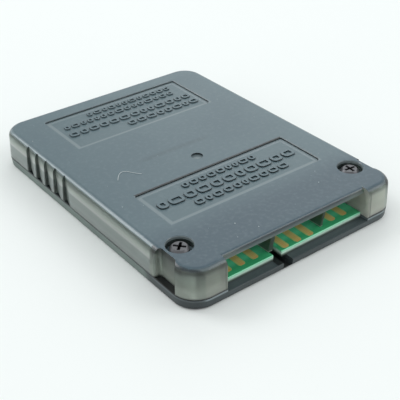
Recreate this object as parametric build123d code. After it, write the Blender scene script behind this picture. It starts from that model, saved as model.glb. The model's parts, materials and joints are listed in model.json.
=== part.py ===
from build123d import *
import math
import os

# A console memory card, in millimetres. It lies label side down: X runs across the card, Y from the
# connector end (-Y) to the far end (+Y), and Z up from the label side. The origin is at the middle of
# the bottom face.

# Contacts on the board's tongue, in groups that the divider ribs keep apart
contact_groups = (3, 3, 2)
contact_width = 1.3
contact_gap = 1.25
group_gap = 4.15
left_margin = 1.6
right_margin = 1.85
contact_length = 5.0
contact_thickness = 0.05
outer_contact_setback = 1.05
middle_contact_setback = 0.3
contact_end_radius = 0.45

# Case screws, with the pockets that their heads sit in
screw_head_diameter = 3.0
screw_head_height = 1.1
screw_head_chamfer = 0.35
screw_shank_diameter = 1.7
screw_length = 3.2
screw_point = 0.35
screw_from_front = 7.4
cross_length = 2.0
cross_width = 0.46
cross_depth = 0.65
cross_taper = 12
left_screw_turn = 41
right_screw_turn = -5
head_clearance = 0.6
head_sink = 0.3
pocket_inner_wall = 0.9
pocket_outer_wall = 0.5
pocket_floor = 1.0
cup_wall = 0.7
pocket_edge_chamfer = 0.12
shank_clearance = 0.15
pilot_clearance = 0.04
pilot_spare = 0.2
boss_wall = 0.6

# Shells, measured at the parting line, from which their outsides draw in by a mould draft in degrees
card_length = 56.2
card_height = 6.8
corner_radius = 4.0
upper_draft = 2.3
lower_draft = 5.5
top_edge_radius = 1.2
bottom_edge_chamfer = 0.25
side_wall = 1.1
top_wall = 1.0
floor_wall = 1.25
rim_height = 0.55
parting_chamfer = 0.12

# Connector mouth
tongue_clearance = 0.1
lip_setback = 1.5
lip_edge_radius = 0.6
mouth_wall = 1.0
post_edge_radius = 0.25
ledge_edge_radius = 0.15
key_rib_thickness = 0.8
rib_thickness = 0.45
rib_setback = 2.6
rib_lean = 0.6

# Notches in the long sides, near the connector end
notch_depth = 1.2
notch_length = 5.0
notch_far_wall = 8.6
notch_corner_radius = 0.5

# Saw-tooth grip grooves in the long sides, near the far end
groove_count = 5
groove_pitch = 3.05
groove_length = 2.25
groove_depth = 0.7
groove_tip_chamfer = 0.18
first_groove = 9.55

# Shallow recessed panels and the gate dimple in the top face
panel_depth = 0.3
panel_edge_chamfer = 0.1
panel_near_radius = 1.0
panel_far_radius = 0.4
front_panel_width = 30.5
front_panel_length = 9.8
front_panel_start = 12.1
rear_panel_width = 28.4
rear_panel_length = 12.0
rear_panel_margin = 4.0
dimple_diameter = 2.0
dimple_depth = 0.45
dimple_from_front = 25.8

# Lip of the lower shell inside the upper shell's wall, with hooks that hold the far end shut
lip_clearance = 0.1
lip_wall = 0.8
lip_headroom = 1.1
hook_width = 5.0
hook_spacing = 20.0
hook_reach = 0.45
hook_height = 0.9
hook_drop = 0.5
hook_clearance = 0.1

# Circuit board
board_thickness = 1.0
board_clearance = 0.2
board_front_setback = 1.6
board_bevel = 0.1
board_corner_radius = 1.3
key_slot_width = 1.65
key_slot_offset = 0.55
key_slot_length = 3.6
key_notch_width = 1.8
key_notch_offset = 0.9
key_notch_skin = 0.3

# Packages on the board
chip_standoff = 0.1
lead_width = 0.35
lead_thickness = 0.13
lead_reach = 0.5
lead_foot = 0.5
controller_size = 7.0
controller_height = 1.4
controller_leads_a_side = 8
controller_pitch = 0.8
controller_from_front = 18.5
controller_x = -9.5
memory_length = 18.4
memory_width = 10.2
memory_height = 1.0
memory_leads_a_side = 20
memory_pitch = 0.8
memory_from_back = 15.0
memory_x = 4.5
chip_edge = 0.12
resonator_length = 4.5
resonator_width = 2.0
resonator_height = 1.2
resonator_x = 1.0
tantalum_length = 3.5
tantalum_width = 2.8
tantalum_height = 1.9
tantalum_x = 12.0
chip_length = 1.6
chip_width = 0.8
capacitor_height = 0.8
resistor_height = 0.45
chip_end = 0.3
chip_end_step = 0.03
resistor_count = 4
resistor_pitch = 2.4
resistor_from_front = 15.5
resistor_x = 4.0
capacitor_count = 4
capacitor_pitch = 3.4
capacitor_gap = 1.6

# Sizes that follow from those above
contact_pitch = contact_width + contact_gap
contacts_across = sum(contact_groups) * contact_width
contacts_across += sum(count - 1 for count in contact_groups) * contact_gap
contacts_across += (len(contact_groups) - 1) * group_gap
tongue_width = left_margin + contacts_across + right_margin
mouth_half = tongue_width / 2 + tongue_clearance
pocket_diameter = screw_head_diameter + 2 * head_clearance
post_width = pocket_inner_wall + pocket_diameter + pocket_outer_wall + notch_depth
card_width = 2 * (mouth_half + post_width)
half_width = card_width / 2
front = -card_length / 2
back = card_length / 2
notch_face = half_width - notch_depth
corner_end = front + notch_far_wall + side_wall
parting = floor_wall + rim_height
ledge_front = front + rim_height * math.tan(math.radians(lower_draft))
ceiling = card_height - top_wall
board_bottom = floor_wall
board_top = board_bottom + board_thickness
board_front = front + board_front_setback
pocket_floor_top = card_height - head_sink - screw_head_height
pocket_floor_bottom = pocket_floor_top - pocket_floor
screw_x = mouth_half + pocket_inner_wall + pocket_diameter / 2
screw_y = front + screw_from_front
cup_diameter = pocket_diameter + 2 * cup_wall
pilot_diameter = screw_shank_diameter + 2 * pilot_clearance
lip_top = ceiling - lip_headroom
lip_inset = side_wall + lip_clearance
well_inset = lip_inset + lip_wall
lip_near = max(corner_end, screw_y + cup_diameter / 2) + board_clearance
hook_top = lip_top - hook_drop
sides = (-1, 1)
on_base = (Align.CENTER, Align.CENTER, Align.MIN)
beyond = 1.0
tolerance = 0.01


def rounded_plan(inset=0.0):
    """Card outline, drawn in from its sides by an inset."""
    radius = corner_radius - inset
    return RectangleRounded(card_width - 2 * inset, card_length - 2 * inset, radius)


def box_between(low, high):
    """Box from its lowest corner to its highest."""
    size = [top - bottom for bottom, top in zip(low, high)]
    return Pos(*low) * Box(*size, align=Align.MIN)


def slab(plan, bottom, top):
    """Flat outline raised from one height to another."""
    return extrude(Pos(0, 0, bottom) * plan, top - bottom)


def strip(left, right, near, far):
    """Flat rectangle between two X and two Y values."""
    middle = Pos((left + right) / 2, (near + far) / 2)
    return middle * Rectangle(abs(right - left), far - near)


def rod(diameter, x, y, bottom, top):
    """Upright cylinder between two heights."""
    return Pos(x, y, bottom) * Cylinder(diameter / 2, top - bottom, align=on_base)


def edges_in(part, low, high):
    """Edges of a part that lie wholly inside a box."""
    found = []
    for edge in part.edges():
        box = edge.bounding_box()
        over = all(a >= b - tolerance for a, b in zip(tuple(box.min), low))
        under = all(a <= b + tolerance for a, b in zip(tuple(box.max), high))
        if over and under:
            found.append(edge)
    return found


def corners_at(plan, points):
    """Corners of an outline that stand at given points."""
    wanted = [Vector(*point) for point in points]
    return [corner for corner in plan.vertices()
            if any((Vector(corner) - point).length < tolerance for point in wanted)]


def contact_places():
    """X of each contact's middle line, group by group from the left."""
    groups = []
    left = -tongue_width / 2 + left_margin
    for count in contact_groups:
        group = [left + contact_width / 2 + place * contact_pitch for place in range(count)]
        groups.append(group)
        left = group[-1] + contact_width / 2 + group_gap
    return groups


def rib_places():
    """X of the divider ribs, midway between the groups of contacts."""
    groups = contact_places()
    return [(near[-1] + far[0]) / 2 for near, far in zip(groups, groups[1:])]


def key_slot_x():
    """X of the middle of the board's key slot, beside the first rib."""
    return rib_places()[0] + key_slot_offset


def key_cut(x, width, near):
    """Flat strip from a near edge to the far end of the key slot."""
    return strip(x - width / 2, x + width / 2, near, board_front + key_slot_length)


def outline_x(y):
    """Half width of the card outline at one Y, along a long side or round a front corner."""
    into_corner = max(0.0, front + corner_radius - y)
    return half_width - corner_radius + math.sqrt(corner_radius**2 - into_corner**2)


def notch_outline(side):
    """Notch points on one long side: the far wall, the notch face and the ramp back out."""
    far = front + notch_far_wall
    near = far - notch_length
    return [
        (side * outline_x(far), far),
        (side * notch_face, far),
        (side * notch_face, near + notch_depth),
        (side * outline_x(near), near),
    ]


def groove_outlines(side):
    """Points of each grip groove: its steep wall at the far end, then its ramp out."""
    outlines = []
    for place in range(groove_count):
        steep = back - first_groove - place * groove_pitch
        outlines.append([
            (side * half_width, steep),
            (side * (half_width - groove_depth), steep),
            (side * half_width, steep - groove_length),
        ])
    return outlines


def cut_from_side(plan, points, side):
    """Outline less a bite whose first and last points lie on its long side."""
    outside = side * (half_width + beyond)
    bite = Polygon(*points, (outside, points[-1][1]), (outside, points[0][1]), align=None)
    return plan - bite


def upper_plan():
    """Upper shell seen from above, with its notches, grip grooves and set-back lip."""
    plan = rounded_plan()
    notch_corners = []
    groove_tips = []
    for side in sides:
        notch = notch_outline(side)
        plan = cut_from_side(plan, notch, side)
        notch_corners += notch
        for groove in groove_outlines(side):
            plan = cut_from_side(plan, groove, side)
            groove_tips.append(groove[0])
    plan -= strip(-mouth_half, mouth_half, front - beyond, front + lip_setback)
    posts = [(side * mouth_half, front) for side in sides]
    notch_round = min(notch_corner_radius, 0.45 * notch_depth)
    tip_chamfer = min(groove_tip_chamfer, 0.5 * groove_depth)
    plan = fillet(corners_at(plan, notch_corners), notch_round)
    plan = chamfer(corners_at(plan, groove_tips), tip_chamfer)
    return fillet(corners_at(plan, posts), post_edge_radius)


def upper_body():
    """Solid form of the upper shell: its drafted outline under the rounded top edge."""
    block = extrude(Pos(0, 0, parting) * rounded_plan(), card_height - parting, taper=upper_draft)
    block = fillet(block.faces().sort_by(Axis.Z)[-1].edges(), top_edge_radius)
    block = chamfer(block.faces().sort_by(Axis.Z)[0].edges(), parting_chamfer)
    return block & slab(upper_plan(), parting, card_height)


def upper_cavity():
    """Hollow of the upper shell, leaving walls round the mouth, the notches and the screw pockets."""
    plan = rounded_plan(side_wall)
    for side in sides:
        plan -= strip(side * mouth_half, side * (mouth_half + mouth_wall), front, corner_end)
        plan -= strip(side * (notch_face - side_wall), side * half_width, front, corner_end)
    plan += strip(-mouth_half, mouth_half, front - beyond, corner_end)
    cavity = slab(plan, parting, ceiling)
    for side in sides:
        cup = rod(cup_diameter, side * screw_x, screw_y, pocket_floor_bottom, ceiling)
        outside = side * (half_width + beyond)
        room = slab(strip(side * mouth_half, outside, front, back), parting, ceiling)
        cavity -= cup & room
    return cavity


def panel_plan(width, length, near):
    """Panel outline, with rounder corners at its near edge."""
    far = near + length
    plan = strip(-width / 2, width / 2, near, far)
    plan = fillet(corners_at(plan, [(side * width / 2, near) for side in sides]), panel_near_radius)
    return fillet(corners_at(plan, [(side * width / 2, far) for side in sides]), panel_far_radius)


def sink_panel(shell, width, length, near):
    """Shell with one recessed panel, its rim bevelled."""
    shell -= slab(panel_plan(width, length, near), card_height - panel_depth, card_height + beyond)
    low = (-width / 2, near, card_height)
    high = (width / 2, near + length, card_height)
    return chamfer(edges_in(shell, low, high), panel_edge_chamfer)


def sink_pocket(shell, side):
    """Shell with one screw pocket and the hole under it."""
    x = side * screw_x
    radius = pocket_diameter / 2
    shell -= rod(pocket_diameter, x, screw_y, pocket_floor_top, card_height + beyond)
    hole = screw_shank_diameter + 2 * shank_clearance
    shell -= rod(hole, x, screw_y, pocket_floor_bottom - beyond, pocket_floor_top + tolerance)
    low = (x - radius, screw_y - radius, card_height)
    high = (x + radius, screw_y + radius, card_height)
    return chamfer(edges_in(shell, low, high), pocket_edge_chamfer)


def divider_rib(x, thickness):
    """Rib from the top plate down to the board, its front edge leaning out."""
    rib_front = front + rib_setback
    profile = Polygon(
        (rib_front, board_top),
        (corner_end, board_top),
        (corner_end, ceiling + top_wall / 2),
        (rib_front - rib_lean, ceiling + top_wall / 2),
        (rib_front - rib_lean, ceiling),
        align=None,
    )
    return Pos(x, 0, 0) * extrude(Plane.YZ * profile, thickness / 2, both=True)


def hook_places():
    """X of the hooks at the far end."""
    return [side * hook_spacing / 2 for side in sides]


def hook(x, clearance=0.0):
    """Hook on the lip at the far end, or the catch for it when given a clearance."""
    half = hook_width / 2 + clearance
    low = (x - half, back - well_inset, hook_top - hook_height - clearance)
    high = (x + half, back - lip_inset + hook_reach + clearance, hook_top + clearance)
    return box_between(low, high)


def upper_shell():
    """Smoke-tinted shell: top plate, walls, connector mouth, ribs, pockets, notches and grip."""
    shell = upper_body() - upper_cavity()
    for number, x in enumerate(rib_places()):
        shell += divider_rib(x, rib_thickness if number else key_rib_thickness)
    for side in sides:
        shell = sink_pocket(shell, side)
    shell = sink_panel(shell, front_panel_width, front_panel_length, front + front_panel_start)
    rear_panel_near = back - rear_panel_margin - rear_panel_length
    shell = sink_panel(shell, rear_panel_width, rear_panel_length, rear_panel_near)
    dimple_bottom = card_height - dimple_depth
    shell -= rod(dimple_diameter, 0, front + dimple_from_front, dimple_bottom, card_height + beyond)
    for x in hook_places():
        shell -= hook(x, hook_clearance)
    lip_front = front + lip_setback
    lip_edge = edges_in(shell, (-mouth_half, lip_front, card_height), (mouth_half, lip_front, card_height))
    return fillet(lip_edge, lip_edge_radius)


def lower_shell():
    """Dark tray: floor, rim, ledge under the board, inner lip with hooks, and screw bosses."""
    tray = extrude(Pos(0, 0, parting) * rounded_plan(), -parting, taper=lower_draft)
    tray = chamfer(tray.faces().sort_by(Axis.Z)[0].edges(), bottom_edge_chamfer)
    tray = chamfer(tray.faces().sort_by(Axis.Z)[-1].edges(), parting_chamfer)
    behind_corners = strip(-half_width, half_width, corner_end, back)
    well = rounded_plan(well_inset) & behind_corners
    well += strip(-mouth_half, mouth_half, front - beyond, corner_end + beyond)
    tray -= slab(well, floor_wall, card_height)
    ledge = edges_in(tray, (-mouth_half, front, floor_wall), (mouth_half, ledge_front, floor_wall))
    tray = fillet(ledge, ledge_edge_radius)
    lip_room = strip(-half_width, half_width, lip_near, back)
    lip = (rounded_plan(lip_inset) - rounded_plan(well_inset)) & lip_room
    tray += slab(lip, floor_wall, lip_top)
    for x in hook_places():
        tray += hook(x)
    boss_diameter = pilot_diameter + 2 * boss_wall
    pilot_bottom = pocket_floor_top - screw_length - pilot_spare
    for side in sides:
        tray += rod(boss_diameter, side * screw_x, screw_y, floor_wall, pocket_floor_bottom)
        tray -= rod(pilot_diameter, side * screw_x, screw_y, pilot_bottom, pocket_floor_bottom + beyond)
    notch = key_cut(key_slot_x() + key_notch_offset, key_notch_width, front - beyond)
    return tray - slab(notch, key_notch_skin, card_height)


def circuit_board():
    """Board with a bevelled tongue for the connector and a key slot in its front edge."""
    board_half = half_width - well_inset - board_clearance
    shoulder = corner_end + board_clearance
    board_back = back - well_inset - board_clearance
    plan = strip(-board_half, board_half, shoulder, board_back)
    corners = [(side * board_half, y) for side in sides for y in (shoulder, board_back)]
    plan = fillet(corners_at(plan, corners), board_corner_radius)
    plan += strip(-tongue_width / 2, tongue_width / 2, board_front, shoulder + beyond)
    plan -= key_cut(key_slot_x(), key_slot_width, board_front - beyond)
    board = slab(plan, board_bottom, board_top)
    low = (-tongue_width / 2, board_front, board_top)
    high = (tongue_width / 2, board_front, board_top)
    return chamfer(edges_in(board, low, high), board_bevel)


def contacts():
    """Contact plates with rounded near ends, named from the left; the middle group reaches further out."""
    pieces = {}
    for group_number, group in enumerate(contact_places()):
        middle = group_number == len(contact_groups) // 2
        setback = middle_contact_setback if middle else outer_contact_setback
        near = board_front + setback
        for x in group:
            edges = (x - contact_width / 2, x + contact_width / 2)
            plan = strip(*edges, near, near + contact_length)
            plan = fillet(corners_at(plan, [(edge, near) for edge in edges]), contact_end_radius)
            pieces[f"contact_{len(pieces) + 1}"] = slab(plan, board_top, board_top + contact_thickness)
    return pieces


def case_screw(side, turn):
    """Pan-head screw with a cross recess, its head on the pocket floor."""
    head = rod(screw_head_diameter, 0, 0, 0, screw_head_height)
    head = chamfer(head.faces().sort_by(Axis.Z)[-1].edges(), screw_head_chamfer)
    shank = rod(screw_shank_diameter, 0, 0, -screw_length, tolerance)
    shank = chamfer(shank.faces().sort_by(Axis.Z)[0].edges(), screw_point)
    cross = Rectangle(cross_length, cross_width) + Rectangle(cross_width, cross_length)
    recess = extrude(Pos(0, 0, screw_head_height) * cross, -cross_depth, taper=cross_taper)
    screw = head + shank - recess
    return Pos(side * screw_x, screw_y, pocket_floor_top) * Rot(0, 0, turn) * screw


def package_body(length, width, height):
    """Moulded chip body with bevelled edges, standing off the board."""
    body = Pos(0, 0, chip_standoff) * Box(length, width, height, align=on_base)
    return chamfer(body.faces().sort_by(Axis.Z)[-1].edges(), chip_edge)


def lead_row(count, pitch, body_width, body_height):
    """Gull-wing leads in a row along X, on the +Y side of a chip body."""
    exit_height = chip_standoff + body_height / 2
    knee = lead_reach - lead_thickness
    profile = Polygon(
        (0, exit_height),
        (knee, exit_height),
        (knee, 0),
        (knee + lead_foot, 0),
        (knee + lead_foot, lead_thickness),
        (lead_reach, lead_thickness),
        (lead_reach, exit_height + lead_thickness),
        (0, exit_height + lead_thickness),
        align=None,
    )
    lead = extrude(Plane.YZ * profile, lead_width / 2, both=True)
    first = -(count - 1) * pitch / 2
    return [Pos(first + place * pitch, body_width / 2, 0) * lead for place in range(count)]


def package(place, length, width, height, leads, pitch, turns):
    """Chip body and its leads, with one row of leads for each turn about the body."""
    body = place * package_body(length, width, height)
    rows = []
    for turn in turns:
        row = lead_row(leads, pitch, width, height)
        rows += [place * Rot(0, 0, turn) * lead for lead in row]
    return body, Compound(children=rows)


def end_cap_chip(length, width, height, x, y):
    """Leadless part with a slightly thicker metal cap over each end."""
    middle = length - 2 * chip_end
    core_size = (middle, width - 2 * chip_end_step, height - 2 * chip_end_step)
    chip = Pos(0, 0, height / 2) * Box(*core_size)
    for side in sides:
        cap_x = side * (length - chip_end) / 2
        chip += Pos(cap_x, 0, height / 2) * Box(chip_end, width, height)
    return Pos(x, y, board_top) * chip


def board_parts():
    """Chips and small parts on the board, by name."""
    controller_place = Pos(controller_x, front + controller_from_front, board_top)
    controller, controller_leads = package(
        controller_place, controller_size, controller_size, controller_height,
        controller_leads_a_side, controller_pitch, (0, 90, 180, 270),
    )
    memory_y = back - memory_from_back
    memory, memory_leads = package(
        Pos(memory_x, memory_y, board_top), memory_length, memory_width, memory_height,
        memory_leads_a_side, memory_pitch, (0, 180),
    )
    controller_y = front + controller_from_front
    pieces = {
        "controller_chip": controller,
        "controller_leads": controller_leads,
        "memory_chip": memory,
        "memory_leads": memory_leads,
        "ceramic_resonator": end_cap_chip(
            resonator_length, resonator_width, resonator_height, resonator_x, controller_y),
        "bulk_capacitor": end_cap_chip(
            tantalum_length, tantalum_width, tantalum_height, tantalum_x, controller_y),
    }
    for place in range(resistor_count):
        x = resistor_x + place * resistor_pitch
        y = front + resistor_from_front
        pieces[f"chip_resistor_{place + 1}"] = end_cap_chip(chip_length, chip_width, resistor_height, x, y)
    lead_span = lead_reach - lead_thickness + lead_foot
    capacitor_y = memory_y - memory_width / 2 - lead_span - capacitor_gap
    first = memory_x - (capacitor_count - 1) * capacitor_pitch / 2
    for place in range(capacitor_count):
        x = first + place * capacitor_pitch
        chip = end_cap_chip(chip_length, chip_width, capacitor_height, x, capacitor_y)
        pieces[f"chip_capacitor_{place + 1}"] = chip
    return pieces


pieces = {
    "upper_shell": upper_shell(),
    "lower_shell": lower_shell(),
    "circuit_board": circuit_board(),
    "case_screw_left": case_screw(-1, left_screw_turn),
    "case_screw_right": case_screw(1, right_screw_turn),
}
pieces.update(contacts())
pieces.update(board_parts())

os.makedirs("parts", exist_ok=True)
for name, piece in pieces.items():
    export_step(piece, f"parts/{name}.step")
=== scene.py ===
import json
import math
import random
from types import SimpleNamespace

import bmesh
import bpy
from mathutils import Matrix, Vector

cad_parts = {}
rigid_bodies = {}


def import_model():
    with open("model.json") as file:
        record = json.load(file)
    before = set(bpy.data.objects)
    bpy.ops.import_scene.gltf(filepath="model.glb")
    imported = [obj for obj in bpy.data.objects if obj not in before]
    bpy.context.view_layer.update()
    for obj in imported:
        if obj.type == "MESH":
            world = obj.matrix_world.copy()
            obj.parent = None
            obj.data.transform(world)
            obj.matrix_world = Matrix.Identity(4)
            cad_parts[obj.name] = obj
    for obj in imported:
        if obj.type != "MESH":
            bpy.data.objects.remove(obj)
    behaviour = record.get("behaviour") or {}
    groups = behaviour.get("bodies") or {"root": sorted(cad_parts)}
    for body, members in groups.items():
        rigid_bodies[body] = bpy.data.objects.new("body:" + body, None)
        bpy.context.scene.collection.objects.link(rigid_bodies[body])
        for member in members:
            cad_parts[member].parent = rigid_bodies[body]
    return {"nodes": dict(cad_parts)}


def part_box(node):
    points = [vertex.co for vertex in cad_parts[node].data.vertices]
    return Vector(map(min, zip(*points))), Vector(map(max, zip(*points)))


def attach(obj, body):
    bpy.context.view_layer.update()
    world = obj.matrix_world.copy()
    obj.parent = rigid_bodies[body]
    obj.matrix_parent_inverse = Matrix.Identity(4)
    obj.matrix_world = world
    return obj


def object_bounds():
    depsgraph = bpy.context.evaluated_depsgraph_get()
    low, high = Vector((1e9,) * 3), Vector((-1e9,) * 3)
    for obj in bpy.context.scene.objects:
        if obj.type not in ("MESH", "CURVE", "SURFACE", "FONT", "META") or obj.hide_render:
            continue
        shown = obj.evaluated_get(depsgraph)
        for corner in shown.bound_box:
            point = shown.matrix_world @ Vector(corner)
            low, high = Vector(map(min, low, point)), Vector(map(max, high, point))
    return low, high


for leftover in list(bpy.data.objects):
    bpy.data.objects.remove(leftover)

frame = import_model()
cad_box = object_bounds()
nodes = frame["nodes"]
mm = 0.001

# Heights and places taken from the frame
card_low, card_high = cad_box
top_z = card_high.z
inner_lip_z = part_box("lower_shell")[1].z
parting_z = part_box("upper_shell")[0].z
board_low, board_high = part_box("circuit_board")
screw_low, screw_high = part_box("case_screw_right")
screw_place = (screw_low + screw_high) / 2
key_gap_x = (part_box("contact_3")[1].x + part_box("contact_4")[0].x) / 2

# Camera at the photograph's viewing angle
camera_azimuth = math.radians(-37.365)
camera_elevation = math.radians(32.953)
camera_roll = math.radians(-0.627)
camera_distance = 145.263 * mm
camera_aside = 1.859 * mm
camera_above = -5.528 * mm
camera_lens = 76.42
camera_sensor = 36
camera_clip = (0.005, 20)

# Recessed panels on the top face: width, near edge and far edge
panel_depth = 0.3 * mm
front_panel = (30.5 * mm, card_low.y + 12.1 * mm, card_low.y + 21.9 * mm)
rear_panel = (28.4 * mm, card_high.y - 16.0 * mm, card_high.y - 4.0 * mm)

# Painted shade outside a panel's far edge, where its wall falls dark: panel, how far out it reaches and
# how strong it is
panel_edge_shade = (
    (front_panel, 0.24 * mm, 0.9),
    (rear_panel, 0.14 * mm, 0.35),
)

# Edges of the mouldings that their finishes follow
flat_top_half = 19.6 * mm
mouth_lip_front = card_low.y + 1.5 * mm
mouth_lip_z = top_z - 1.0 * mm
pocket_radius = 2.1 * mm
mouth_half = 14.3 * mm
mouth_end = card_low.y + 9.7 * mm
side_ledge_half = 19.0 * mm
dimple_y = card_low.y + 25.8 * mm
dimple_radius = 1.0 * mm
key_notch_x = key_gap_x + 0.8 * mm
key_notch_half = 1.3 * mm
screw_cross_radius = 1.1 * mm

# Faint darker streak across the middle of the top face: its ends in X and its edges in Y
dark_streak_x = (-8 * mm, 5 * mm)
dark_streak_y = (1.5 * mm, 2.5 * mm)

# Tilts over which a finish changes, as parts of the surface normal
flat_tilt = (0.58, 0.78)
even_tilt = (0.9, 0.99)
level_tilt = (0.8, 0.95)
square_tilt = (0.35, 0.2)
front_tilt = (-0.4, -0.7)

# Painted shade of the thin gap where the two shells part
seam_shade_colour = (84, 94, 91)

# Rounding of the shells' sharp edges, and the weld and joining of level faces before it
upper_edge_width = 0.1 * mm
lower_edge_width = 0.08 * mm
edge_segments = 2
sharp_angle = math.radians(30)
level_angle = math.radians(1.0)
weld_distance = 0.001 * mm
normal_weight = 100

# Raised bars in the panels; strokes, corners and lengths are shares of a bar's width
bar_height = 0.24 * mm
bar_bevel = 0.05 * mm
bar_root = 0.02 * mm
bar_stroke = 0.27
bar_corner_steps = 4
bar_corner = 0.34
bar_least_radius = 0.06 * mm
bar_gap = 0.4 * mm
bar_lengths = (0.75, 1.4)

# Rows of bars: Y from the panel's middle, X of the row's two ends, and the bars' width
front_rows = (
    (2.9 * mm, -7.5 * mm, 8.3 * mm, 1.3 * mm),
    (0.3 * mm, -14.0 * mm, 14.0 * mm, 1.9 * mm),
    (-2.3 * mm, -8.8 * mm, 11.0 * mm, 1.4 * mm),
)
rear_rows = (
    (4.1 * mm, -6.5 * mm, 12.0 * mm, 1.1 * mm),
    (2.0 * mm, -12.4 * mm, 12.2 * mm, 1.2 * mm),
    (-0.8 * mm, -12.9 * mm, 13.0 * mm, 1.5 * mm),
    (-3.3 * mm, -2.3 * mm, 13.4 * mm, 1.4 * mm),
)
front_rows_seed = 3
rear_rows_seed = 8

# Specks of dust on the top face, in mm: X, Y and size of the clear ones, and ranges for the fine ones
clear_specks = (
    (-5.6, -24.4, 0.16),
    (-7.8, -21.6, 0.2),
    (-9.7, -24.5, 0.13),
    (-19.2, 19.3, 0.18),
    (-18.4, -7.6, 0.15),
    (9.9, -21.0, 0.18),
    (11.8, -18.2, 0.14),
)
fine_specks = 40
fine_speck_x = (-18, 18)
fine_speck_y = (-24, 25)
fine_speck_sizes = (0.05, 0.1)
dust_seed = 5

# Shape of a speck, as shares of its size
speck_wobble = (0.75, 1.15)
speck_flatness = 0.55
speck_lift = 0.2
speck_divisions = 2

# Lint fibre on the top face: X and Y of its bends in mm
fibre_bends = (
    (-14.7, -0.7),
    (-13.9, 0.5),
    (-12.9, 1.1),
    (-12.2, 0.9),
    (-11.7, 0.1),
    (-11.2, -0.8),
    (-10.6, -1.4),
)
fibre_radius = 0.045 * mm
fibre_sides = 6

# Tabletop, and daylight with its lamps: name, place, size, power in watts and colour
floor_half = 3.0
floor_gap = 0.01 * mm
daylight_colour = (0.97, 0.985, 0.985, 1.0)
daylight_strength = 0.8
lamps = (
    ("key", (-0.43, 0.8, 0.78), 0.46, 3.2, (1.0, 1.0, 1.0)),
    ("sheen", (0.6, 0.6, 0.5), 0.5, 0.9, (0.95, 0.98, 1.0)),
    ("fill", (0.72, -0.6, 0.62), 0.7, 2.5, (1.0, 1.0, 1.0)),
    ("left", (-0.9, -0.1, 0.5), 0.7, 0.6, (1.0, 1.0, 1.0)),
)


def linear(red, green, blue):
    """Shader colour from 0 to 255 screen values, by the sRGB curve."""
    channels = []
    for value in (red, green, blue):
        share = value / 255
        channels.append(share / 12.92 if share <= 0.04045 else ((share + 0.055) / 1.055) ** 2.4)
    return (*channels, 1.0)


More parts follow.
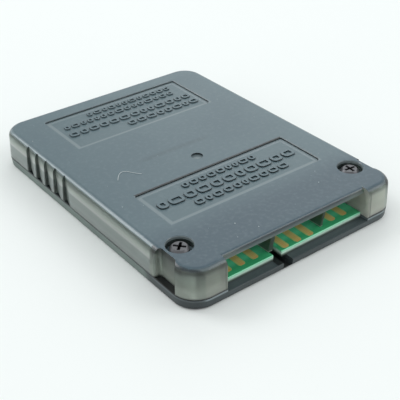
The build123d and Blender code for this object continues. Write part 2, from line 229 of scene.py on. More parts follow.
class Graph:
    """Node tree of one material, with short ways to add and link its nodes."""

    def __init__(self, name):
        self.material = bpy.data.materials.new(name)
        self.material.use_nodes = True
        self.tree = self.material.node_tree
        self.tree.nodes.clear()
        self.coords = self.add("ShaderNodeTexCoord").outputs

    def feed(self, node, key, value):
        """Links a node's input if it is given a socket, and sets it if it is given a value."""
        if isinstance(value, bpy.types.NodeSocket):
            self.tree.links.new(value, node.inputs[key])
        else:
            node.inputs[key].default_value = value

    def add(self, kind, inputs=None, **settings):
        """New node with its settings and inputs."""
        node = self.tree.nodes.new(kind)
        for key, value in settings.items():
            setattr(node, key, value)
        for key, value in (inputs or {}).items():
            self.feed(node, key, value)
        return node

    def math(self, operation, *values):
        """Result of a Math node."""
        return self.add("ShaderNodeMath", dict(enumerate(values)), operation=operation).outputs[0]

    def size(self, value):
        """Value without its sign."""
        return self.math("ABSOLUTE", value)

    def less(self, value, amount):
        """Value less an amount."""
        return self.math("SUBTRACT", value, amount)

    def away(self, value, middle):
        """Distance of a value from a middle."""
        return self.size(self.less(value, middle))

    def reach(self, first, second):
        """Distance across from two offsets at right angles."""
        squares = [self.math("POWER", offset, 2.0) for offset in (first, second)]
        return self.math("SQRT", self.math("ADD", *squares))

    def both(self, *masks):
        """Product of masks."""
        result = masks[0]
        for mask in masks[1:]:
            result = self.math("MULTIPLY", result, mask)
        return result

    def either(self, *masks):
        """Largest of masks."""
        result = masks[0]
        for mask in masks[1:]:
            result = self.math("MAXIMUM", result, mask)
        return result

    def outside(self, mask):
        """1 where a mask is 0, and 0 where it is 1."""
        return self.less(1.0, mask)

    def span(self, value, low, high):
        """Noise or mask between 0 and 1 spread between two values."""
        inputs = {"Value": value, "To Min": low, "To Max": high}
        return self.add("ShaderNodeMapRange", inputs).outputs["Result"]

    def ramp(self, value, start, end):
        """Smooth rise from 0 at start to 1 at end."""
        inputs = {"Value": value, "From Min": start, "From Max": end}
        settings = {"interpolation_type": "SMOOTHSTEP", "clamp": True}
        return self.add("ShaderNodeMapRange", inputs, **settings).outputs["Result"]

    def band(self, value, low, high, blur):
        """1 between two values and 0 outside them, with soft ends."""
        rise = self.ramp(value, low - blur, low + blur)
        fall = self.ramp(value, high + blur, high - blur)
        return self.both(rise, fall)

    def mix(self, factor, first, second):
        """Colour between two colours."""
        node = self.add("ShaderNodeMix", data_type="RGBA", clamp_factor=True)
        # Sockets of the node's colour kind: 0 is its factor, 6 and 7 its colours, and 2 its result
        for index, value in ((0, factor), (6, first), (7, second)):
            self.feed(node, index, value)
        return node.outputs[2]

    def tint(self, colour, mask, share, other):
        """Colour taken a share of the way to another where a mask is 1."""
        return self.mix(self.math("MULTIPLY", mask, share), colour, other)

    def shades(self, value, stops):
        """Colour that follows a value through its stops, each a value and a colour."""
        low, high = stops[0][0], stops[-1][0]
        inputs = {"Value": value, "From Min": low, "From Max": high}
        share = self.add("ShaderNodeMapRange", inputs).outputs["Result"]
        node = self.add("ShaderNodeValToRGB", {"Fac": share})
        elements = node.color_ramp.elements
        for stop, colour in stops[1:-1]:
            elements.new((stop - low) / (high - low)).color = colour
        elements[0].color = stops[0][1]
        elements[-1].color = stops[-1][1]
        return node.outputs["Color"]

    def noise(self, scale, detail, stretch=None):
        """Noise value about 0.5, with a scale in features to the metre."""
        vector = self.coords["Object"]
        if stretch:
            stretched = self.add("ShaderNodeVectorMath", {0: vector, 1: stretch}, operation="MULTIPLY")
            vector = stretched.outputs[0]
        inputs = {"Vector": vector, "Scale": scale, "Detail": detail}
        return self.add("ShaderNodeTexNoise", inputs).outputs["Fac"]

    def place(self, kind="Object"):
        """X, Y and Z sockets of a position, in the frame or as shares of the piece's box."""
        return self.add("ShaderNodeSeparateXYZ", {0: self.coords[kind]}).outputs

    def facing(self):
        """X, Y and Z sockets of the surface normal."""
        normal = self.add("ShaderNodeNewGeometry").outputs["Normal"]
        return self.add("ShaderNodeSeparateXYZ", {0: normal}).outputs

    def bump(self, height, distance, strength):
        """Normal for a height between 0 and 1, raised by a distance."""
        inputs = {"Height": height, "Distance": distance, "Strength": strength}
        return self.add("ShaderNodeBump", inputs).outputs["Normal"]

    def finish(self, **inputs):
        """Material whose Principled shader has these inputs, with _ for a space in their names."""
        named = {key.replace("_", " "): value for key, value in inputs.items()}
        shader = self.add("ShaderNodeBsdfPrincipled", named)
        output = self.add("ShaderNodeOutputMaterial")
        self.tree.links.new(shader.outputs["BSDF"], output.inputs["Surface"])
        return self.material


def surface(g):
    """Place and facing of a surface, with its distance from the middle and how far it faces sideways."""
    at = SimpleNamespace()
    at.x, at.y, at.z = g.place()
    at.aside = g.size(at.x)
    outward_x, at.outward_y, at.upward = g.facing()
    at.sideways = g.size(outward_x)
    at.square_on = g.ramp(at.sideways, *square_tilt)
    return at


def smoke_zones(g):
    """Surface of the upper shell, with the masks that its finish follows."""
    at = surface(g)
    at.flat = g.ramp(at.upward, *flat_tilt)
    at.front = g.ramp(at.y, mouth_end + 0.2 * mm, mouth_end - 0.2 * mm)

    # The satin skin covers the top's flat and everything sunk into it
    at.crown = g.ramp(at.z, top_z - 0.6 * mm, top_z - 0.45 * mm)
    within = g.ramp(at.aside, flat_top_half + 0.2 * mm, flat_top_half)
    along = g.band(at.y, mouth_lip_front + 0.5 * mm, card_high.y - 1.5 * mm, 0.1 * mm)
    at.from_screw = g.reach(g.less(at.aside, screw_place.x), g.less(at.y, screw_place.y))
    at.pocket = g.ramp(at.from_screw, pocket_radius + 0.15 * mm, pocket_radius + 0.05 * mm)
    at.sunk = g.either(g.both(at.crown, within, along), at.pocket)
    at.skin = g.either(g.both(at.crown, at.flat), at.sunk)
    return at


def panel_rim_highlight(g, at, panel):
    """Mask of the painted highlight along the inside of a panel's edge."""
    width, near, far = panel
    from_side = g.less(at.aside, width / 2)
    from_end = g.less(g.away(at.y, (near + far) / 2), (far - near) / 2)
    return g.band(g.either(from_side, from_end), -0.8 * mm, 0.12 * mm, 0.15 * mm)


def smoke_recesses(g, at, top, rim):
    """Top skin with painted shade on the walls of its panels, pockets and dimple, painted light on the
    dimple's floor, and painted highlights round the pockets.
    """
    from_dimple = g.reach(at.x, g.less(at.y, dimple_y))
    dimple = g.ramp(from_dimple, dimple_radius + 0.2 * mm, dimple_radius + 0.1 * mm)
    dimple_foot = g.ramp(at.z, top_z - 0.2 * mm, top_z - 0.35 * mm)
    # Painted shade on the walls of the dimple, panels and pockets, darkest near the top
    dimple_wall = g.mix(dimple_foot, linear(34, 41, 45), linear(104, 117, 121))
    rear_wall = g.mix(rim, linear(72, 82, 86), linear(52, 60, 64))
    wall = g.mix(g.ramp(at.y, 0.0, 5 * mm), linear(20, 24, 27), rear_wall)
    wall = g.mix(at.pocket, wall, linear(50, 58, 57))
    wall = g.mix(dimple, wall, dimple_wall)
    # Painted light on the dimple's floor
    dimple_floor = g.both(dimple, g.ramp(at.z, top_z - 0.35 * mm, top_z - 0.42 * mm))
    top = g.tint(top, dimple_floor, 0.7, linear(146, 160, 164))
    top = g.mix(g.both(g.outside(at.flat), at.sunk), top, wall)
    # Painted highlight round the screw pockets' edges
    pocket_rim = g.band(at.from_screw, pocket_radius - 0.06 * mm, pocket_radius + 0.08 * mm, 0.03 * mm)
    return g.tint(top, g.both(pocket_rim, at.crown), 0.5, linear(150, 164, 168))


def smoke_top(g, at):
    """Satin top skin: scuffed, with painted shade over the mouth and a painted highlight along its rounded
    edges.
    """
    cloud = g.ramp(g.noise(55, 3.0), 0.35, 0.65)
    top = g.mix(cloud, linear(86, 109, 118), linear(91, 114, 122))
    # Painted shade over the mouth
    shade_over_mouth = g.ramp(at.y, card_low.y + 14 * mm, card_low.y + 7 * mm)
    top = g.tint(top, shade_over_mouth, 0.85, linear(65, 87, 100))
    in_panel = g.ramp(at.z, top_z - 0.15 * mm, top_z - panel_depth)
    top = g.tint(top, in_panel, 0.5, linear(93, 115, 121))
    # Painted highlight along the panels' edges
    rim = g.either(panel_rim_highlight(g, at, front_panel), panel_rim_highlight(g, at, rear_panel))
    top = g.tint(top, g.both(rim, at.flat), 0.6, linear(140, 155, 160))
    # Painted shade just outside each panel's far edge
    for (width, _, far), reach, strength in panel_edge_shade:
        across = g.ramp(at.aside, width / 2 + 0.1 * mm, width / 2)
        edge_shade = g.both(across, g.band(at.y, far, far + reach, 0.04 * mm))
        top = g.tint(top, edge_shade, strength, linear(24, 29, 32))
    dark_streak = g.both(g.band(at.y, *dark_streak_y, 0.5 * mm), g.band(at.x, *dark_streak_x, 1.5 * mm))
    top = g.tint(top, dark_streak, 0.22, linear(44, 56, 62))
    scuffs = g.ramp(g.noise(1500, 4.0), 0.45, 0.75)
    top = g.tint(top, scuffs, 0.18, linear(126, 144, 150))
    # Painted highlight along the top's rounded edges, away from the posts
    edge_height = g.band(at.z, top_z - 0.42 * mm, top_z - 0.12 * mm, 0.1 * mm)
    rounded = g.both(edge_height, g.outside(at.sunk))
    top = g.tint(top, g.both(rounded, g.outside(at.front)), 0.58, linear(160, 176, 180))
    # Painted shade on the posts' rounded top edges, with painted light where they face square on
    post_edge_shading = g.mix(at.square_on, linear(32, 38, 40), linear(104, 116, 118))
    top = g.tint(top, g.both(rounded, at.front), 0.8, post_edge_shading)
    return smoke_recesses(g, at, top, rim)


def smoke_posts(g, at):
    """Clear posts beside the mouth, with light through them painted in: painted shade under the top edge
    and in the seam, painted light clearest on their front faces and on the right post, and painted
    highlights by the mouth.
    """
    # Painted light through the posts, with painted shade in the seam and under the top edge
    post = g.shades(at.z, [
        (parting_z, linear(*seam_shade_colour)),
        (parting_z + 0.4 * mm, linear(232, 244, 231)),
        (parting_z + 1.7 * mm, linear(226, 238, 225)),
        (top_z - 1.8 * mm, linear(184, 198, 187)),
        (top_z - 1.1 * mm, linear(146, 158, 151)),
        (top_z - 0.7 * mm, linear(58, 67, 67)),
        (top_z - 0.4 * mm, linear(30, 36, 38)),
    ])
    clear = g.shades(at.z, [
        (parting_z, linear(36, 41, 40)),
        (parting_z + 0.12 * mm, linear(60, 68, 66)),
        (parting_z + 0.4 * mm, linear(252, 255, 242)),
        (top_z - 1.15 * mm, linear(252, 255, 242)),
        (top_z - 0.6 * mm, linear(142, 156, 148)),
    ])
    # Painted shade on the left post, and painted light on the front faces that is strongest on the right
    # post
    on_right = g.ramp(at.x, -mm, mm)
    on_left = g.ramp(at.x, mm, -mm)
    post = g.tint(post, on_left, 0.25, linear(120, 132, 122))
    face = g.both(at.square_on, g.ramp(at.outward_y, *front_tilt))
    post = g.tint(post, face, g.span(on_right, 0.35, 0.9), clear)
    # Painted light on the cheeks beside the mouth
    by_mouth = g.band(at.aside, mouth_half - 0.15 * mm, mouth_half + 0.3 * mm, 0.05 * mm)
    cheek_light = g.both(by_mouth, g.ramp(at.sideways, 0.5, 0.8))
    post = g.tint(post, cheek_light, 0.9, linear(255, 255, 244))
    # Painted highlight on the bead along the posts' front edges
    bead_highlight = g.both(face, g.band(at.aside, mouth_half + 0.2 * mm, mouth_half + 0.5 * mm, 0.06 * mm))
    return g.tint(post, bead_highlight, 0.6, linear(128, 138, 124))


def smoke_mouth(g, at, wall):
    """Walls with the lip over the mouth and the ribs that hang under it, with light and shade through the
    clear lip painted in and a painted highlight along the ribs' lower edges.
    """
    mouth = g.both(at.front, g.ramp(at.aside, mouth_half - 0.05 * mm, mouth_half - 0.15 * mm))
    lip = g.both(mouth, g.ramp(at.z, mouth_lip_z - 0.1 * mm, mouth_lip_z))
    # Painted light and shade through the lip, lighter towards its ends
    lip_shade = g.shades(at.z, [
        (mouth_lip_z, linear(186, 212, 206)),
        (top_z - 0.6 * mm, linear(142, 168, 172)),
        (top_z - 0.3 * mm, linear(90, 108, 117)),
    ])
    lip_end = g.ramp(at.aside, mouth_half - 5 * mm, mouth_half - mm)
    lip_shade = g.tint(lip_shade, lip_end, 0.5, linear(206, 222, 212))
    wall = g.mix(lip, wall, lip_shade)
    rib = g.both(mouth, g.ramp(at.z, mouth_lip_z, mouth_lip_z - 0.1 * mm))
    # Painted highlight along the ribs' lower edges
    rib_foot = g.ramp(at.z, board_high.z + 0.25 * mm, board_high.z + 0.15 * mm)
    return g.mix(rib, wall, g.mix(rib_foot, linear(104, 128, 114), linear(200, 218, 202)))


def smoke_walls(g, at):
    """Clear walls with the light through them painted in: pale over the open space above the lower shell's
    lip, greyer in front of the lip, with a painted highlight at the lip's top edge and painted shade under
    the top edge.
    """
    # Painted light through the walls, with painted shade in the seam and under the top edge
    wall = g.shades(at.z, [
        (parting_z, linear(*seam_shade_colour)),
        (parting_z + 0.35 * mm, linear(206, 217, 214)),
        (inner_lip_z - 1.2 * mm, linear(186, 199, 196)),
        (inner_lip_z - 0.35 * mm, linear(190, 203, 199)),
        (inner_lip_z + 0.02 * mm, linear(252, 255, 252)),
        (inner_lip_z + 0.5 * mm, linear(228, 239, 230)),
        (top_z - 1.25 * mm, linear(200, 213, 203)),
        (top_z - 0.8 * mm, linear(142, 157, 149)),
        (top_z - 0.5 * mm, linear(112, 126, 121)),
    ])
    # Painted shade on the steep faces of the grip grooves
    at_side = g.ramp(at.aside, flat_top_half, flat_top_half + 0.3 * mm)
    groove = g.both(g.ramp(at.outward_y, *front_tilt), at_side)
    wall = g.tint(wall, groove, 0.85, linear(40, 47, 45))
    wall = g.mix(at.front, wall, smoke_posts(g, at))
    streak = g.ramp(g.noise(60, 4.0, stretch=(1.0, 1.0, 14.0)), 0.3, 0.7)
    wall = g.tint(wall, streak, 0.12, linear(120, 132, 124))
    return smoke_mouth(g, at, wall)


def smoke_plastic():
    """Smoke-tinted moulding: satin and bluish on top, clear and greenish in its polished walls, with the
    light and shade seen through its clear parts painted into its colour.
    """
    g = Graph("smoke_plastic_finish")
    at = smoke_zones(g)
    wall_roughness = g.span(at.front, 0.3, 0.4)
    top_roughness = g.span(g.ramp(at.upward, *even_tilt), 0.25, 0.4)

    # Posts are milkier low down, where the lower shell stands close behind them
    low_down = g.both(at.front, g.ramp(at.z, parting_z + 2.4 * mm, parting_z + 0.8 * mm))
    wall_clearness = g.less(g.span(at.front, 0.72, 0.82), g.math("MULTIPLY", low_down, 0.12))
    return g.finish(
        Base_Color=g.mix(at.skin, smoke_walls(g, at), smoke_top(g, at)),
        Roughness=g.span(at.skin, wall_roughness, top_roughness),
        Transmission_Weight=g.span(at.skin, wall_clearness, 0.2),
        IOR=1.5,
        Normal=g.bump(g.noise(5200, 2.0), 0.02 * mm, 0.2),
    )


def dark_front(g, at, colour):
    """Lower shell's colour at its connector end, with painted highlights on its top edge and front ledge,
    and painted shade at the foot, the corners, the joint, the key notch and the side ledges.
    """
    level = g.ramp(at.upward, *level_tilt)
    front = g.ramp(at.y, mouth_end, mouth_end - mm)
    on_side_ledge = g.ramp(at.aside, side_ledge_half, side_ledge_half + 0.3 * mm)
    under_post = g.ramp(at.aside, mouth_half, mouth_half + 0.1 * mm)
    # Painted highlight along the lower shell's top edge at the front
    rim = g.both(front, g.band(at.z, parting_z - 0.42 * mm, parting_z - 0.06 * mm, 0.06 * mm))
    colour = g.tint(colour, rim, 0.5, linear(98, 110, 113))
    # Painted light on the level ledge at the front
    front_ledge = g.both(level, front, g.outside(on_side_ledge))
    colour = g.tint(colour, front_ledge, 0.6, linear(68, 79, 83))
    # Painted shade on the ledges that show in the side grooves
    ledge_height = g.band(at.z, parting_z - 0.1 * mm, parting_z + 0.1 * mm, 0.02 * mm)
    colour = g.tint(colour, g.both(level, ledge_height, on_side_ledge), 0.85, linear(14, 17, 18))
    # Stronger painted highlight on the top edge under the posts, where it faces square on
    colour = g.tint(colour, g.both(rim, under_post, at.square_on), 0.8, linear(126, 138, 142))
    # Painted shade on the rounded corners at the front
    bend = g.both(front, g.band(at.sideways, 0.4, 0.95, 0.1))
    colour = g.tint(colour, bend, 0.45, linear(30, 36, 39))
    # Painted shade at the foot, where it meets the floor
    foot = g.both(front, g.ramp(at.z, 0.5 * mm, 0.25 * mm))
    colour = g.tint(colour, foot, 0.7, linear(26, 31, 33))
    # Painted shade in the joint under the posts
    joint = g.both(front, under_post, g.ramp(at.z, parting_z - 0.12 * mm, parting_z - 0.06 * mm))
    colour = g.tint(colour, joint, 0.85, linear(12, 14, 15))
    # Painted shade in the key notch
    key_notch = g.both(
        front,
        g.ramp(g.away(at.x, key_notch_x), key_notch_half, key_notch_half - 0.1 * mm),
        g.ramp(at.y, card_low.y + 0.1 * mm, card_low.y + 0.3 * mm),
    )
    return g.tint(colour, key_notch, 0.85, linear(10, 12, 13))


def dark_plastic():
    """Dark grey moulding of the lower shell: fine-grained, with a painted reflection that makes its
    upright faces behind the mouth paler.
    """
    g = Graph("dark_plastic_finish")
    at = surface(g)
    cloud = g.ramp(g.noise(90, 3.0), 0.35, 0.65)
    colour = g.mix(cloud, linear(51, 60, 62), linear(61, 71, 73))
    # Painted reflection of the pale floor on the upright faces behind the mouth
    upright = g.both(g.ramp(at.upward, 0.6, 0.3), g.ramp(at.upward, -0.9, -0.8))
    reflecting_sides = g.both(upright, g.ramp(at.y, mouth_end, mouth_end + 2 * mm))
    colour = g.mix(reflecting_sides, colour, g.mix(cloud, linear(94, 108, 104), linear(103, 117, 112)))
    speck = g.ramp(g.noise(2600, 2.0), 0.62, 0.75)
    colour = g.tint(colour, speck, 0.35, linear(92, 102, 102))
    return g.finish(
        Base_Color=dark_front(g, at, colour),
        Roughness=g.span(g.noise(240, 3.0), 0.38, 0.52),
        Normal=g.bump(g.noise(4200, 3.0), 0.03 * mm, 0.3),
    )


def under_shell(g, y):
    """Mask of what lies back under the lip, where light through the clear shell is painted in."""
    return g.ramp(y, mouth_lip_front + 1.2 * mm, mouth_lip_front + 2.6 * mm)


def board_green():
    """Solder mask over woven glass with painted light under the clear shell, and bare laminate on the cut
    edges with a painted highlight near their top and painted shade low down.
    """
    g = Graph("board_green_finish")
    _, y, z = g.place()
    upward = g.facing()[2]
    weave = g.noise(1400, 1.0)
    mask = g.mix(g.ramp(g.noise(160, 3.0), 0.3, 0.7), linear(56, 164, 108), linear(66, 180, 122))
    mask = g.tint(mask, weave, 0.15, linear(36, 126, 82))
    # Painted light on the board where it lies under the clear shell
    mask = g.tint(mask, under_shell(g, y), 0.8, linear(108, 238, 180))
    # Cut edge: bare laminate, with a painted highlight along its bevel near the top and painted shade low
    # down
    edge = g.shades(z, [
        (board_low.z, linear(48, 56, 52)),
        (board_low.z + 0.25 * mm, linear(90, 102, 94)),
        (board_high.z - 0.55 * mm, linear(172, 202, 186)),
        (board_high.z - 0.4 * mm, linear(206, 234, 218)),
        (board_high.z - 0.2 * mm, linear(168, 226, 198)),
        (board_high.z - 0.05 * mm, linear(116, 214, 168)),
    ])
    fibres = g.ramp(g.noise(900, 3.0, stretch=(1.0, 1.0, 6.0)), 0.3, 0.7)
    edge = g.tint(edge, fibres, 0.15, linear(110, 122, 108))
    return g.finish(
        Base_Color=g.mix(g.ramp(upward, 0.85, 0.98), edge, mask),
        Roughness=g.span(g.noise(500, 2.0), 0.24, 0.38),
        Normal=g.bump(weave, 0.01 * mm, 0.2),
        Coat_Weight=0.3,
        Coat_Roughness=0.12,
    )


def contact_gold():
    """Gold flash over copper: redder at the tip and where it is rubbed, duller at its outline, and paler
    back under the lip where light through the clear shell is painted in.
    """
    g = Graph("contact_gold_finish")
    across, along, _ = g.place("Generated")
    y = g.place()[1]
    from_middle = g.away(across, 0.5)
    scratch = g.noise(1500, 3.0, stretch=(1.0, 0.06, 1.0))
    gold = g.mix(scratch, linear(210, 196, 112), linear(222, 212, 132))
    rubbed = g.band(from_middle, 0.06, 0.2, 0.04)
    gold = g.tint(gold, rubbed, 0.5, linear(218, 158, 100))
    outline = g.ramp(from_middle, 0.27, 0.38)
    gold = g.tint(gold, outline, 0.85, linear(190, 204, 124))
    tip = g.ramp(along, 0.1, 0.02)
    gold = g.tint(gold, tip, 0.4, linear(220, 150, 100))
    # Painted light on the contacts under the clear shell
    gold = g.tint(gold, under_shell(g, y), 0.35, linear(250, 246, 160))
    return g.finish(
        Base_Color=gold,
        Metallic=0.15,
        Roughness=g.span(scratch, 0.3, 0.5),
        Normal=g.bump(scratch, 0.01 * mm, 0.3),
    )


def screw_steel():
    """Plated steel, dulled on the head, with painted shade down in the cross."""
    g = Graph("screw_steel_finish")
    x, y, z = g.place()
    from_axis = g.reach(g.less(g.size(x), screw_place.x), g.less(y, screw_place.y))
    # Painted shade down in the screws' cross
    sunk = g.ramp(z, screw_high.z - 0.05 * mm, screw_high.z - 0.3 * mm)
    cross_shade = g.both(sunk, g.ramp(from_axis, screw_cross_radius + 0.1 * mm, screw_cross_radius))
    steel = g.mix(g.noise(900, 4.0), linear(84, 85, 88), linear(112, 113, 116))
    return g.finish(
        Base_Color=g.mix(cross_shade, steel, linear(14, 15, 17)),
        Metallic=0.85,
        Roughness=g.span(g.noise(2200, 3.0), 0.34, 0.5),
        Normal=g.bump(g.noise(3500, 2.0), 0.01 * mm, 0.3),
    )


def chip_black():
    """Moulded chip packages, matt with faint glass filler."""
    g = Graph("chip_black_finish")
    return g.finish(
        Base_Color=g.mix(g.noise(1800, 3.0), linear(24, 24, 26), linear(44, 44, 46)),
        Roughness=g.span(g.noise(900, 2.0), 0.5, 0.7),
        Normal=g.bump(g.noise(5000, 2.0), 0.02 * mm, 0.4),
    )


def lead_tin():
    """Tinned leads, slightly mottled."""
    g = Graph("lead_tin_finish")
    return g.finish(
        Base_Color=g.mix(g.noise(1500, 3.0), linear(168, 170, 172), linear(204, 206, 206)),
        Metallic=1.0,
        Roughness=g.span(g.noise(1200, 2.0), 0.25, 0.45),
    )


def end_capped(name, first, second, cap_share):
    """Leadless part: a speckled body between tinned end caps."""
    g = Graph(name)
    from_middle = g.away(g.place("Generated")[0], 0.5)
    cap_edge = 0.5 - cap_share
    cap = g.ramp(from_middle, cap_edge - 0.01, cap_edge + 0.01)
    body = g.mix(g.noise(1600, 3.0), first, second)
    return g.finish(
        Base_Color=g.mix(cap, body, linear(190, 192, 192)),
        Metallic=cap,
        Roughness=g.span(g.noise(1500, 2.0), 0.35, 0.55),
    )


def dust_white():
    """Pale lint and dust."""
    g = Graph("dust_finish")
    return g.finish(
        Base_Color=g.mix(g.noise(4000, 2.0), linear(176, 186, 190), linear(214, 222, 224)),
        Roughness=g.span(g.noise(6000, 2.0), 0.7, 0.95),
    )


def dress(material, *kinds):
    """Gives the CAD nodes whose names start with these words a finish in place of their plain one."""
    for name, piece in nodes.items():
        if name.startswith(kinds):
            for slot in piece.material_slots:
                slot.material = material


def paint_nodes(smoke):
    """Finishes for every CAD node."""
    dress(smoke, "upper_shell")
    dress(dark_plastic(), "lower_shell")
    dress(board_green(), "circuit_board")
    dress(contact_gold(), "contact_")
    dress(screw_steel(), "case_screw_")
    dress(chip_black(), "controller_chip", "memory_chip")
    dress(lead_tin(), "controller_leads", "memory_leads")
    tan = end_capped("ceramic_tan_finish", linear(176, 146, 104), linear(196, 168, 126), 0.19)
    dress(tan, "chip_capacitor_")
    brown = end_capped("resonator_finish", linear(150, 130, 100), linear(170, 150, 120), 0.07)
    dress(brown, "ceramic_resonator")
    black = end_capped("resistor_finish", linear(28, 30, 34), linear(46, 48, 52), 0.19)
    dress(black, "chip_resistor_")
    yellow = end_capped("tantalum_finish", linear(190, 140, 40), linear(206, 160, 60), 0.09)
    dress(yellow, "bulk_capacitor")


def soften(name, width):
    """Rounds a CAD node's sharp edges by a small width."""
    piece = nodes[name]
    weld = piece.modifiers.new("weld", "WELD")
    weld.merge_threshold = weld_distance
    flat = piece.modifiers.new("flat", "DECIMATE")
    flat.decimate_type = "DISSOLVE"
    flat.angle_limit = level_angle
    bevel = piece.modifiers.new("bevel", "BEVEL")
    bevel.limit_method = "ANGLE"
    bevel.angle_limit = sharp_angle
    bevel.width = width
    bevel.segments = edge_segments
    bevel.use_clamp_overlap = True
    bevel.miter_outer = "MITER_ARC"
    normals = piece.modifiers.new("normals", "WEIGHTED_NORMAL")
    normals.weight = normal_weight


def new_piece(name, mesh_data, material):
    """Mesh object that belongs to the card."""
    mesh = bpy.data.meshes.new(name)
    mesh_data.to_mesh(mesh)
    mesh_data.free()
    mesh.materials.append(material)
    piece = bpy.data.objects.new(name, mesh)
    bpy.context.scene.collection.objects.link(piece)
    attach(piece, "root")
    return piece


def join_rings(mesh, rings):
    """Closed skin over a row of rings of points."""
    corners = [[mesh.verts.new(point) for point in ring] for ring in rings]
    count = len(corners[0])
    for lower, upper in zip(corners, corners[1:]):
        for place in range(count):
            after = (place + 1) % count
            mesh.faces.new((lower[place], lower[after], upper[after], upper[place]))
    mesh.faces.new(list(reversed(corners[0])))
    mesh.faces.new(corners[-1])


def bar_ring(middle, length, width, radius, z):
    """Outline of a bar with rounded corners, at one height."""
    ring = []
    for turn, (side, end) in enumerate(((1, 1), (-1, 1), (-1, -1), (1, -1))):
        centre_x = middle[0] + side * (length / 2 - radius)
        centre_y = middle[1] + end * (width / 2 - radius)
        for step in range(bar_corner_steps + 1):
            angle = math.pi / 2 * (turn + step / bar_corner_steps)
            ring.append((centre_x + radius * math.cos(angle), centre_y + radius * math.sin(angle), z))
    return ring


def add_bar(mesh, middle, length, width):
    """Raised outline of a bar on a panel's floor, its outer edge bevelled and its middle sunk."""
    floor = top_z - panel_depth
    crest = floor + bar_height
    section = (
        (0, floor - bar_root),
        (0, crest - bar_bevel),
        (bar_bevel, crest),
        (bar_stroke * width, crest),
        (bar_stroke * width, floor + bar_root),
    )
    rings = []
    for inset, z in section:
        radius = max(bar_corner * width - inset, bar_least_radius)
        rings.append(bar_ring(middle, length - 2 * inset, width - 2 * inset, radius, z))
    join_rings(mesh, rings)


def panel_bars(name, panel, rows, seed, material):
    """Rows of bars of mixed lengths on a panel's floor."""
    draw = random.Random(seed)
    mesh = bmesh.new()
    middle_y = (panel[1] + panel[2]) / 2
    for row_y, x, row_end, width in rows:
        while x < row_end - width:
            length = min(width * draw.uniform(*bar_lengths), row_end - x)
            add_bar(mesh, (x + length / 2, middle_y + row_y), length, width)
            x += length + bar_gap
    new_piece(name, mesh, material)


def on_flat_top(x, y):
    """Whether a place on the top face is clear of the panels, screw pockets and dimple."""
    for width, near, far in (front_panel, rear_panel):
        if abs(x) < width / 2 and near < y < far:
            return False
    in_pocket = math.hypot(abs(x) - screw_place.x, y - screw_place.y) < pocket_radius
    in_dimple = math.hypot(x, y - dimple_y) < dimple_radius
    return not in_pocket and not in_dimple


def dust_specks(material):
    """Specks of dust on the flat of the top face."""
    draw = random.Random(dust_seed)
    specks = list(clear_specks)
    for _ in range(fine_specks):
        x, y = draw.uniform(*fine_speck_x), draw.uniform(*fine_speck_y)
        specks.append((x, y, draw.uniform(*fine_speck_sizes)))
    mesh = bmesh.new()
    for x, y, size in specks:
        if not on_flat_top(x * mm, y * mm):
            continue
        made = bmesh.ops.create_icosphere(mesh, subdivisions=speck_divisions, radius=size / 2 * mm)
        for vertex in made["verts"]:
            vertex.co *= draw.uniform(*speck_wobble)
            vertex.co.z *= speck_flatness
            vertex.co += Vector((x * mm, y * mm, top_z + speck_lift * size * mm))
    new_piece("dust_specks", mesh, material)


def fibre_line():
    """Points along a smooth curve that is led by the fibre's bends."""
    curve = bpy.data.curves.new("dust_fibre_route", "CURVE")
    curve.dimensions = "3D"
    spline = curve.splines.new("NURBS")
    spline.points.add(len(fibre_bends) - 1)
    for point, (x, y) in zip(spline.points, fibre_bends):
        point.co = (x * mm, y * mm, top_z + fibre_radius, 1)
    spline.use_endpoint_u = True
    spline.order_u = 3
    holder = bpy.data.objects.new("dust_fibre_route", curve)
    line = [vertex.co.copy() for vertex in bpy.data.meshes.new_from_object(holder).vertices]
    bpy.data.objects.remove(holder)
    return line


def dust_fibre(material):
    """Curled lint fibre that lies on the top face."""
    line = fibre_line()
    rings = []
    for before, here, after in zip([line[0], *line], line, [*line[1:], line[-1]]):
        along = (after - before).normalized()
        aside = along.cross(Vector((0, 0, 1)))
        ring = []
        for step in range(fibre_sides):
            angle = 2 * math.pi * step / fibre_sides
            outward = math.cos(angle) * aside + math.sin(angle) * aside.cross(along)
            ring.append(here + fibre_radius * outward)
        rings.append(ring)
    mesh = bmesh.new()
    join_rings(mesh, rings)
    piece = new_piece("dust_fibre", mesh, material)
    for face in piece.data.polygons:
        face.use_smooth = True


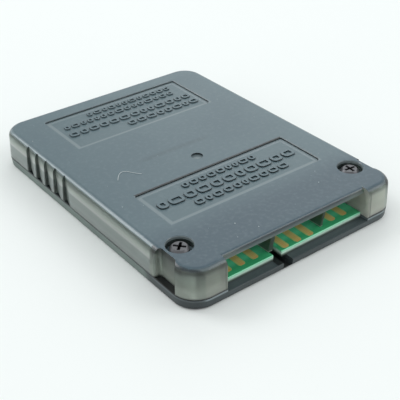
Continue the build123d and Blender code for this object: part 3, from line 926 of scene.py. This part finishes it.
def make_camera():
    """Camera at the photograph's place."""
    data = bpy.data.cameras.new("camera")
    data.lens = camera_lens
    data.sensor_width = camera_sensor
    data.clip_start, data.clip_end = camera_clip
    camera = bpy.data.objects.new("camera", data)
    bpy.context.scene.collection.objects.link(camera)
    level = Vector((math.cos(camera_azimuth), math.sin(camera_azimuth), 0))
    away = Vector((math.sin(camera_azimuth), -math.cos(camera_azimuth), 0))
    back = away * math.cos(camera_elevation) + Vector((0, 0, math.sin(camera_elevation)))
    right = Matrix.Rotation(camera_roll, 3, back) @ level
    up = back.cross(right)
    centre = (card_low + card_high) / 2
    place = centre + right * camera_aside + up * camera_above + back * camera_distance
    axes = Matrix((right, up, back)).transposed().to_4x4()
    camera.matrix_world = Matrix.Translation(place) @ axes
    bpy.context.scene.camera = camera


def make_floor():
    """Pale tabletop, a hair under the card so that their faces don't meet."""
    g = Graph("floor_finish")
    colour = g.mix(g.noise(8, 2.0), linear(237, 242, 241), linear(241, 245, 244))
    material = g.finish(Base_Color=colour, Roughness=0.7, Specular_IOR_Level=0.2)
    mesh = bpy.data.meshes.new("floor")
    ends = ((-1, -1), (1, -1), (1, 1), (-1, 1))
    corners = [(x * floor_half, y * floor_half, -floor_gap) for x, y in ends]
    mesh.from_pydata(corners, [], [(0, 1, 2, 3)])
    mesh.materials.append(material)
    floor = bpy.data.objects.new("floor", mesh)
    bpy.context.scene.collection.objects.link(floor)


def add_lamp(name, place, size, power, colour):
    """Square area lamp that faces the card."""
    data = bpy.data.lights.new(name, "AREA")
    data.size = size
    data.energy = power
    data.color = colour
    lamp = bpy.data.objects.new(name, data)
    lamp.location = place
    lamp.rotation_euler = (-Vector(place)).to_track_quat("-Z", "Y").to_euler()
    bpy.context.scene.collection.objects.link(lamp)


def make_light():
    """Soft daylight all round, with two lamps behind the card, one in front and a weak one to the left."""
    world = bpy.data.worlds.new("world")
    world.use_nodes = True
    background = world.node_tree.nodes["Background"]
    background.inputs["Color"].default_value = daylight_colour
    background.inputs["Strength"].default_value = daylight_strength
    bpy.context.scene.world = world
    for lamp in lamps:
        add_lamp(*lamp)


bpy.context.scene.view_settings.view_transform = "Standard"
smoke_finish = smoke_plastic()
paint_nodes(smoke_finish)
soften("upper_shell", upper_edge_width)
soften("lower_shell", lower_edge_width)
panel_bars("front_panel_bars", front_panel, front_rows, front_rows_seed, smoke_finish)
panel_bars("rear_panel_bars", rear_panel, rear_rows, rear_rows_seed, smoke_finish)
dust_finish = dust_white()
dust_specks(dust_finish)
dust_fibre(dust_finish)
make_camera()
make_floor()
make_light()
